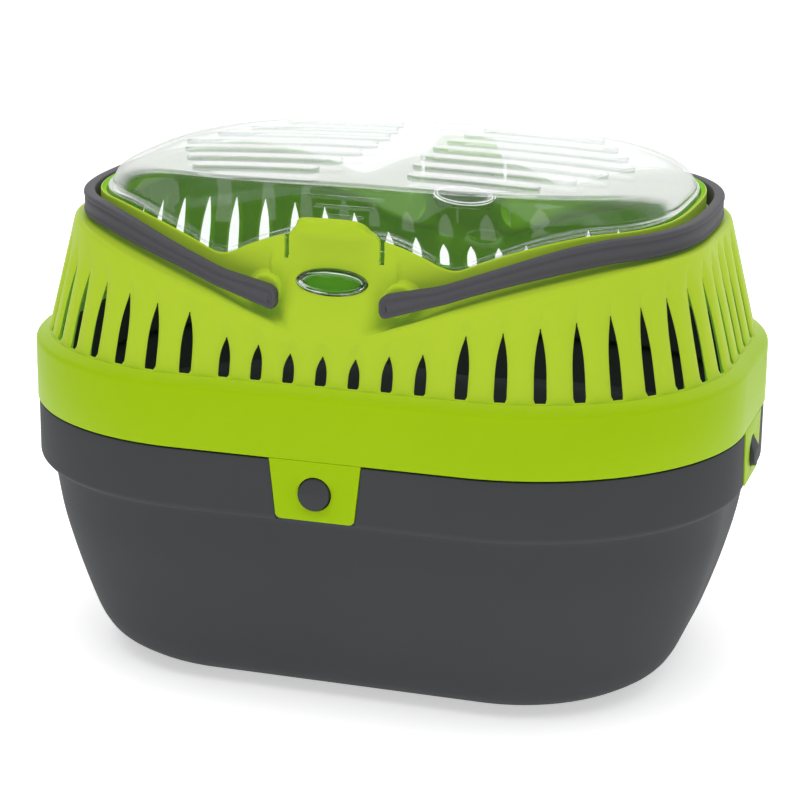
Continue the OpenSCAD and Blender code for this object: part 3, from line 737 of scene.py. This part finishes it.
def pin(name, x, z, y_from, y_to, radius, edge=0.4, sides=48):
    """A short round boss or pin along the depth, with eased edges."""
    bpy.ops.object.select_all(action="DESELECT")
    bpy.ops.mesh.primitive_cylinder_add(vertices=sides, radius=radius * MM, depth=abs(y_to - y_from) * MM,
                                        location=(x * MM, (y_from + y_to) / 2 * MM, z * MM),
                                        rotation=(math.pi / 2, 0, 0))
    rod = bpy.context.object
    bpy.ops.object.transform_apply(location=True, rotation=True, scale=True)
    rod.name = rod.data.name = name
    apply_modifier(rod, "BEVEL", {"width": edge * MM, "segments": 3, "limit_method": "ANGLE",
                                  "angle_limit": math.radians(40)})
    smooth_shade(rod, 40)
    return rod


def snap_tab(name, reach, turn, body):
    """One flap, made at the front of a body that reaches so far, and turned into place."""
    bpy.ops.object.select_all(action="DESELECT")
    bpy.ops.mesh.primitive_cube_add(size=1, location=(0, -(reach - tab_t / 2) * MM, (tab_z0 + tab_z1) / 2 * MM))
    tab = bpy.context.object
    tab.name = tab.data.name = name
    tab.scale = (2 * tab_half * MM, tab_t * MM, (tab_z1 - 0.06 - tab_z0) * MM)
    bpy.ops.object.transform_apply(location=True, rotation=True, scale=True)
    for v in tab.data.vertices:
        if v.co.z < (tab_z0 + tab_z1) / 2 * MM:
            v.co.x *= tab_half_end / tab_half
    bpy.ops.object.mode_set(mode="EDIT")
    bpy.ops.mesh.select_mode(type="EDGE")
    bpy.ops.mesh.select_all(action="DESELECT")
    shape = bmesh.from_edit_mesh(tab.data)
    for edge in shape.edges:
        a, b = edge.verts
        if abs(a.co.x - b.co.x) < 1e-5 and abs(a.co.z - b.co.z) < 1e-5 and a.co.z < 0.09:
            edge.select_set(True)
    bmesh.update_edit_mesh(tab.data)
    bpy.ops.mesh.bevel(offset=2.0 * MM, segments=8, affect="EDGES")
    bpy.ops.object.mode_set(mode="OBJECT")
    cutter = pin("hole_cutter", 0, stud_z, -(reach + 2), -(reach - tab_t - 2), stud_r + 0.5, 0.01, 64)
    apply_modifier(tab, "BOOLEAN", {"operation": "DIFFERENCE", "object": cutter, "solver": "EXACT"})
    bpy.data.objects.remove(cutter)
    apply_modifier(tab, "BEVEL", {"width": 0.3 * MM, "segments": 3, "limit_method": "ANGLE",
                                  "angle_limit": math.radians(50)})
    smooth_shade(tab, 40)
    tab.data.transform(Matrix.Rotation(math.radians(turn), 4, "Z"))
    tab.data.materials.append(shell_green)
    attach(tab, body)
    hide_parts(name.replace("_plate", ""))
    return tab


snap_tab("front_snap_tab_plate", body_d / 2, 0, "front_clip")
snap_tab("right_snap_tab_plate", body_w / 2, 90, "right_clip")
snap_tab("back_snap_tab_plate", body_d / 2, 180, "back_clip")
snap_tab("left_snap_tab_plate", body_w / 2, 270, "left_clip")


# ---- Finger tabs ----
# Between two slits over each latch panel the shell runs up into a springy tab that
# flares out at its top, so that a thumb can hold it while the catch is pressed.
flare = [(-90.98, 183.86), (-90.93, 185.0), (-90.9, 187), (-90.9, 189), (-90.95, 190.6), (-91.2, 191.9),
         (-91.8, 193.2), (-92.9, 194.7), (-94.3, 196.2), (-95.8, 197.5), (-97.3, 198.6), (-98.0, 199.3)]
finger_outline = [(183.0, 18.35), (192.0, 18.3), (192.8, 17.9), (194.3, 15.4), (197.0, 13.9), (198.5, 12.2),
                  (199.4, 10.2)]


def finger_tab(name, turn, body):
    columns = 30
    tab = grid_sheet(name, columns, len(flare) - 1)

    def place(i, j):
        y, z = flare[j]
        across = 2 * i / columns - 1
        return Vector((across * along(finger_outline, z),
                       y + 0.35 * smooth((z - 191) / 6) * across ** 2,
                       z - 0.5 * smooth((z - 195) / 4) * abs(across) ** 3))

    shape_sheet(tab, place, Vector((0, -1, 0)))
    apply_modifier(tab, "SUBSURF", {"levels": 1, "render_levels": 1})
    apply_modifier(tab, "SOLIDIFY", {"thickness": tab_t * MM, "offset": -1, "use_even_offset": True})
    bpy.ops.object.mode_set(mode="EDIT")
    bpy.ops.mesh.select_mode(type="EDGE")
    bpy.ops.mesh.select_all(action="DESELECT")
    skin = bmesh.from_edit_mesh(tab.data)
    for edge in skin.edges:
        edge.select_set(len(edge.link_faces) == 2 and edge.calc_face_angle() > 1.0
                        and max(v.co.z for v in edge.verts) > (seam_z + 0.4) * MM)
    bmesh.update_edit_mesh(tab.data)
    bpy.ops.mesh.bevel(offset=0.45 * MM, segments=3, affect="EDGES")
    bpy.ops.object.mode_set(mode="OBJECT")
    smooth_shade(tab, 50)
    tab.data.transform(Matrix.Rotation(math.radians(turn), 4, "Z"))
    tab.data.materials.append(shell_green)
    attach(tab, body)
    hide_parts(name.replace("_plate", ""))
    return tab


finger_tab("front_latch_tab_plate", 0, "front_finger_tab")
finger_tab("back_latch_tab_plate", 180, "back_finger_tab")


# ---- Lid ----
# A clear lid moulded in polystyrene, about 1.8 mm thick: its skirt stands inside the
# lip and follows its wave, and its crowned top carries two groups of raised ridges.
lid_a, lid_b = lip_a - wall_t - 0.5, lip_b - wall_t - 0.5
lid_t = 1.8
lid_z = 211.8
crown_end, crown_side = 5.2, 2.2
ridge_pitch, ridge_w, ridge_h = 18.6, 9, 1.1


def crown(x, y):
    """How far the lid's top has fallen from its middle."""
    return crown_end * (x / lid_a) ** 2 + crown_side * (y / lid_b) ** 2


def seat_z(s):
    """The height of the lip under the lid's edge; over a latch panel it runs on level."""
    return lip_edge(max(s, slit_mid))


# The wall from its seat up: [inset, height] at the front, the same at the end, the share
# of the crown and the rounding.
lid_rows = [(7.2, 198.0, 1.1, 198.9, 0, 3), (10.8, 206.3, 3.1, 202.2, 0, 4), (11.7, 208.4, 6.6, 204.6, 0, 2.5),
            (13.2, 209.7, 11.5, 206.6, 0, 2.5), (15.8, 211.8, 17.5, 211.8, 1, 4), (22.0, 211.8, 23.0, 211.8, 1, 4)]


def lid_line(s):
    """The lid's outer face at one column, from the skirt's lower edge to the middle."""
    end = (upper(s, lid_a, lid_b, lip_k, 0).x / lid_a) ** 3.6
    seat = seat_z(s)
    low = 190.5 if s < 16.5 else seat - 5
    foot_z = seat + 1.9
    foot_in = mix(max(7.2 + (foot_z - 198) * 0.434, 1.25), 1.1, end)
    profile = [(0, low, 0), (0, mix(low, seat, 0.5), 0), (0, seat + 0.5, 0.3), (0.25, seat + 1.0, 0.5),
               (0.9, seat + 1.25, 0.4), (mix(0.9, foot_in, 0.8), seat + 1.35, 0.3), (foot_in, foot_z, 0.5)]
    corners = []
    for inset, z, ease_r in profile:
        corners.append((upper(s, lid_a - inset, lid_b - inset, lip_k, z), ease_r))
    for f_in, f_z, e_in, e_z, share, ease_r in lid_rows:
        p = upper(s, lid_a - mix(f_in, e_in, end), lid_b - mix(f_in, e_in, end), lip_k, mix(f_z, e_z, end))
        p.z -= share * crown(p.x, p.y)
        if p.z > corners[-1][0].z + 0.05 or share:
            corners.append((p, ease_r))
        else:
            corners.append((corners[-1][0] + Vector((0, 0, 0.05)), 0.3))
    line = rounded([p for p, r in corners], [r for p, r in corners], 4)
    x0, y0 = line[-1].x, line[-1].y
    for k in (0.95, 0.88, 0.8, 0.71, 0.62, 0.52, 0.42, 0.32, 0.22, 0.12, 0.05, 0):
        line.append(Vector((x0 * k, y0 * k, lid_z - crown(x0 * k, y0 * k))))
    return line


lid_columns = ([0, 4, 8, 12, 15, 16, 17, 18, 19, 20, 24, 28, 32, 36, 40, 43.5, 46.5, 50, 54]
               + [straight_x + arc_len * i / 34 for i in range(35)] + [quarter - 14, quarter - 7, quarter])
lid_turn = full_turn(lid_columns)
lid_lines = {s: lid_line(s) for s in lid_columns}
lid = grid_sheet("lid_dome", len(lid_turn), len(lid_lines[0]) - 1)
shape_sheet(lid, lambda i, j: turned(lid_lines[lid_turn[i % len(lid_turn)][0]][j],
                                     lid_turn[i % len(lid_turn)][1]))
apply_modifier(lid, "SOLIDIFY", {"thickness": lid_t * MM, "offset": -1, "use_even_offset": False})


def close_ends(piece):
    """Fills a piece's open ends and turns its faces outward."""
    pick(piece)
    bpy.ops.object.mode_set(mode="EDIT")
    bpy.ops.mesh.select_all(action="DESELECT")
    bpy.ops.mesh.select_mode(type="EDGE")
    bpy.ops.mesh.select_non_manifold()
    bpy.ops.mesh.edge_face_add()
    bpy.ops.mesh.select_all(action="SELECT")
    bpy.ops.mesh.normals_make_consistent(inside=False)
    bpy.ops.object.mode_set(mode="OBJECT")


def sweep(name, sections, ends=True):
    """A bar with the given closed cross-sections, one after another, in mm."""
    count = len(sections[0])
    bar = grid_sheet(name, len(sections) - 1, count)
    shape_sheet(bar, lambda i, j: sections[i][j % count])
    if ends:
        close_ends(bar)
    return bar


def union(piece, others):
    """Joins moulded details to a piece as one skin."""
    for other in others:
        apply_modifier(piece, "BOOLEAN", {"operation": "UNION", "object": other, "solver": "EXACT"})
        bpy.data.objects.remove(other)


def stadium(half_x, half_y, count):
    """Stations along a round-ended bar, each with the bar's half width there."""
    stations = []
    for k in range(count + 1):
        a = math.pi * k / count
        x = -math.cos(a) * half_x
        from_end = half_x - abs(x)
        within = min(from_end - half_y, 0)
        stations.append((x, math.sqrt(max(half_y ** 2 - within ** 2, 0))))
    return stations


def ridge(name, x0, x1, y, width, height):
    """One raised ridge with rounded ends that follows the crowned top."""
    middle, half = (x0 + x1) / 2, abs(x1 - x0) / 2
    sections = []
    for x, w in stadium(half, width / 2, 26):
        w = max(w, 0.02)
        e = min(0.45, w * 0.5)
        points = [(-w, -0.9), (-w, height - 0.4), (-w + e, height), (0, height + 0.1), (w - e, height),
                  (w, height - 0.4), (w, -0.9), (0, -0.9)]
        sections.append([Vector((middle + x, y + dy, lid_z - crown(middle + x, y + dy) + dz)) for dy, dz in points])
    return sweep(name, sections)


ridges = []
for i in range(-3, 4):
    inner, outer = 12 + 0.7 * i * i, 97 - 6 * abs(i) - 0.8 * i * i
    for g in (-1, 1):
        ridges.append(ridge("ridge", g * inner, g * outer, ridge_pitch * i, ridge_w, ridge_h))
for turn in (0, 180):
    # three short thumb bars over each latch panel
    for z, half in ((204.6, 15.7), (201.25, 12.1), (197.9, 8.5)):
        wall_y = -(lid_b - mix(7.2, 10.8, (z - 198) / 8.3))
        sections = [[Vector((x, wall_y + dy - dz * 0.43, z + dz)) for dy, dz in
                     ((0.8, -w), (-0.25, -w), (-0.6, -w * 0.6), (-0.6, w * 0.6), (-0.25, w), (0.8, w))]
                    for x, w in stadium(half, 0.95, 16) for w in [max(w, 0.02)]]
        bar = sweep("thumb_bar", sections)
        bar.data.transform(Matrix.Rotation(math.radians(turn), 4, "Z"))
        ridges.append(bar)
union(lid, ridges)
smooth_shade(lid, 30)


def clear_plastic(name, straight, dish_at=None):
    """Clear polystyrene; the given share of the light passes its thin walls unbent. At the given
    height an oval gets a painted green, standing for the shell's green seen through the dish."""
    finish = bpy.data.materials.new(name)
    finish.use_nodes = True
    tree = finish.node_tree
    shader = tree.nodes["Principled BSDF"]
    shader.inputs["Base Color"].default_value = srgb("#fbfdfd")
    shader.inputs["Roughness"].default_value = 0.02
    shader.inputs["IOR"].default_value = 1.55
    shader.inputs["Transmission Weight"].default_value = 1.0
    place = add_node(tree, "ShaderNodeTexCoord")
    ripple = add_node(tree, "ShaderNodeTexNoise", {}, {"Vector": (place, "Object"), "Scale": 45.0, "Detail": 1.0})
    wave = add_node(tree, "ShaderNodeBump", {}, {"Strength": 0.05, "Distance": 0.002, "Height": (ripple, "Fac")})
    tree.links.new(wave.outputs["Normal"], shader.inputs["Normal"])
    see_through = add_node(tree, "ShaderNodeBsdfTransparent", {}, {"Color": srgb("#f8faf9")})
    mirrored = add_node(tree, "ShaderNodeBsdfGlossy", {}, {"Roughness": 0.03, "Normal": (wave, "Normal")})
    grazing = add_node(tree, "ShaderNodeLayerWeight", {}, {"Blend": 0.5, "Normal": (wave, "Normal")})
    steep = add_node(tree, "ShaderNodeMath", {"operation": "POWER"}, {0: (grazing, "Facing"), 1: 8.0})
    sheen = add_node(tree, "ShaderNodeMapRange", {"interpolation_type": "SMOOTHSTEP"},
                     {"Value": (grazing, "Facing"), "From Min": 0.545, "From Max": 0.655,
                      "To Min": 0.014, "To Max": 0.5})
    share = add_node(tree, "ShaderNodeMath", {"operation": "MAXIMUM"}, {0: (steep, "Value"), 1: (sheen, "Result")})
    thin = add_node(tree, "ShaderNodeMixShader", {},
                    {"Fac": (share, "Value"), 1: (see_through, "BSDF"), 2: (mirrored, "BSDF")})
    halves = add_node(tree, "ShaderNodeMixShader", {}, {"Fac": straight, 1: (shader, "BSDF"), 2: (thin, "Shader")})
    surface = halves
    if dish_at:
        # painted see-through: a diffuse green oval stands for the shell's green that the dish shows by refraction
        from_dish = add_node(tree, "ShaderNodeVectorMath", {"operation": "SUBTRACT"},
                             {0: (place, "Object"), 1: (0.0, 0.0, dish_at * MM)})
        oval = add_node(tree, "ShaderNodeVectorMath", {"operation": "MULTIPLY"},
                        {0: (from_dish, "Vector"), 1: (1 / (11.9 * MM), 0.0, 1 / (3.5 * MM))})
        edge = add_node(tree, "ShaderNodeVectorMath", {"operation": "LENGTH"}, {0: (oval, "Vector")})
        green = add_node(tree, "ShaderNodeMapRange", {"interpolation_type": "SMOOTHSTEP"},
                         {"Value": (edge, "Value"), "From Min": 1.05, "From Max": 0.9, "To Max": 0.75})
        painted_green_view = add_node(tree, "ShaderNodeBsdfDiffuse", {}, {"Color": srgb("#5fa52a")})
        surface = add_node(tree, "ShaderNodeMixShader", {},
                           {"Fac": (green, "Result"), 1: (halves, "Shader"), 2: (painted_green_view, "BSDF")})
    tree.links.new(surface.outputs["Shader"], tree.nodes["Material Output"].inputs["Surface"])
    return finish


lid.data.materials.append(clear_plastic("polystyrene_clear", 0.93))
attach(lid, "lid")
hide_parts("clear_lid")


# ---- Lid catches ----
# A springy tongue hangs from each long side of the lid behind the latch panel. Its
# raised oval boss, with a thick rim round a dished middle, stands in the panel's hole.
boss_x, boss_z = 14.1, 4.9
catch_rings = [(0, -3.2), (0, 0.6), (0.12, 1.05), (0.4, 1.4), (0.85, 1.5), (1.3, 1.35), (1.65, 1.0), (1.85, 0.4),
               (2.0, -0.3), (2.3, -0.6), (3.0, -0.75), (3.8, -0.8), (4.9, -0.8)]
# the catch's clear plastic paints a green oval over its dish, standing for the shell seen through it
catch_clear = clear_plastic("polystyrene_clear_thick", 0.1, catch_z)


def catch(name, turn, body):
    count = 72
    boss = grid_sheet(name, count, len(catch_rings) - 1)
    centre = Vector((0, catch_y, catch_z))

    def place(i, j):
        a = 2 * math.pi * (i % count) / count
        inset, raised = catch_rings[j]
        long_way = (boss_x - inset) if inset < 4.8 else 9.2
        return (centre + Vector((math.cos(a) * long_way, 0, 0)) + panel_up * math.sin(a) * (boss_z - inset)
                + panel_out * raised)

    shape_sheet(boss, place)
    close_ends(boss)
    y_root = -(lid_b - lid_t / 2)
    y_low = catch_y + wall_t + 0.6
    tongue_line = [(y_root - 0.9, 190.0), (y_low + 2.0, 184.0), (y_low + 0.8, 179.0), (y_low - 0.6, 173.0),
                   (y_low - 2.4, 168.8)]
    columns = 20
    tongue = grid_sheet("tongue", columns, len(tongue_line) - 1)

    def tongue_place(i, j):
        y, z = tongue_line[j]
        half = 14.2 if j < len(tongue_line) - 1 else 13.0
        return Vector(((2 * i / columns - 1) * half, y, z))

    shape_sheet(tongue, tongue_place, Vector((0, -1, 0)))
    apply_modifier(tongue, "SUBSURF", {"levels": 1, "render_levels": 1})
    apply_modifier(tongue, "SOLIDIFY", {"thickness": lid_t * MM, "offset": -1, "use_even_offset": True})
    union(boss, [tongue])
    smooth_shade(boss, 35)
    boss.data.transform(Matrix.Rotation(math.radians(turn), 4, "Z"))
    boss.data.materials.append(catch_clear)
    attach(boss, body)
    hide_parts(name.replace("_moulding", ""))
    return boss


catch("front_lid_catch_moulding", 0, "front_catch")
catch("back_lid_catch_moulding", 180, "back_catch")


# ---- Carrying handles ----
# Two grey bails fold down round the ends, each one bar of polypropylene with rounded
# edges, a shallow panel sunk in its outer face, and a pin at each foot.
pin_r = 2.0
tip_s, end_r = 20.7, 3.4
handle_grey = moulded_plastic("polypropylene_mid_grey_satin", "#5a595e", "#525156", 0.45, 0.8, 0.03)


def handle(name, turn, body):
    s_list = [tip_s + end_r * (1 - math.cos(math.pi / 2 * k / 9)) for k in range(10)]
    s_list += [26.5, 30, 34, 38, 42, dip_x, 50, 54] + [straight_x + arc_len * k / 44 for k in range(45)]
    s_list += [quarter - 14, quarter - 7, quarter]
    # each corner of the section: how far out, how far in from the bar's edge, which half
    outline = [(-handle_t / 2, 0, -1), (-1.2, 0, -1), (-0.55, 0.12, -1), (-0.15, 0.45, -1), (0, 0.9, -1),
               (0, 1.3, -1), (-0.1, 1.45, -1), (-0.4, 1.65, -1), (-0.5, 1.95, -1), (-0.5, 2.6, -1),
               (-0.3, 2.9, -1), (-0.3, 9, -1)]
    outline += [(depth, level, 1) for depth, level, sign in reversed(outline[:-1])]
    outline += [(-handle_t + 1.2, 0, 1), (-handle_t + 0.4, 0.2, 1), (-handle_t, 0.9, 1), (-handle_t, 9, 1),
                (-handle_t, 0.9, -1), (-handle_t + 0.4, 0.2, -1), (-handle_t + 1.2, 0, -1)]
    front = []
    for s in [tip_s] + s_list:
        middle = handle_low(s) + bar_height(s) / 2
        half = bar_height(s) / 2
        section = []
        for depth, level, sign in outline:
            at = max(s, tip_s + min(level, end_r))
            from_centre = max(end_r - (at - tip_s), 0)
            arc = math.sqrt(max((end_r - min(level, end_r)) ** 2 - from_centre ** 2, 0))
            full = max(half - end_r + (arc if from_centre > 0 else end_r - level), 0)
            if not front:
                full = 0
            section.append(upper(at, handle_a + depth, handle_b + depth, handle_k, middle + sign * full))
        front.append(section)
    back = [[Vector((p.x, -p.y, p.z)) for p in section] for section in reversed(front[:-1])]
    bar = sweep(name, front + back, ends=False)
    smooth_shade(bar, 40)
    for g in (1, -1):
        y_out = -upper(pivot_x, handle_a, handle_b, handle_k, 0).y
        foot_pin = pin("pivot_pin", pivot_x, pivot_z, -g * (y_out - handle_t + 0.5), g * lip_at(pivot_x, 1, 0).y,
                       pin_r, 0.2, 24)
        pick(bar)
        foot_pin.select_set(True)
        bpy.ops.object.join()
    bar.data.transform(Matrix.Rotation(math.radians(turn), 4, "Z"))
    bar.data.materials.append(handle_grey)
    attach(bar, body)
    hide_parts(name.replace("_bar", ""))
    return bar


handle("right_handle_bar", 0, "right_handle")
handle("left_handle_bar", 180, "left_handle")
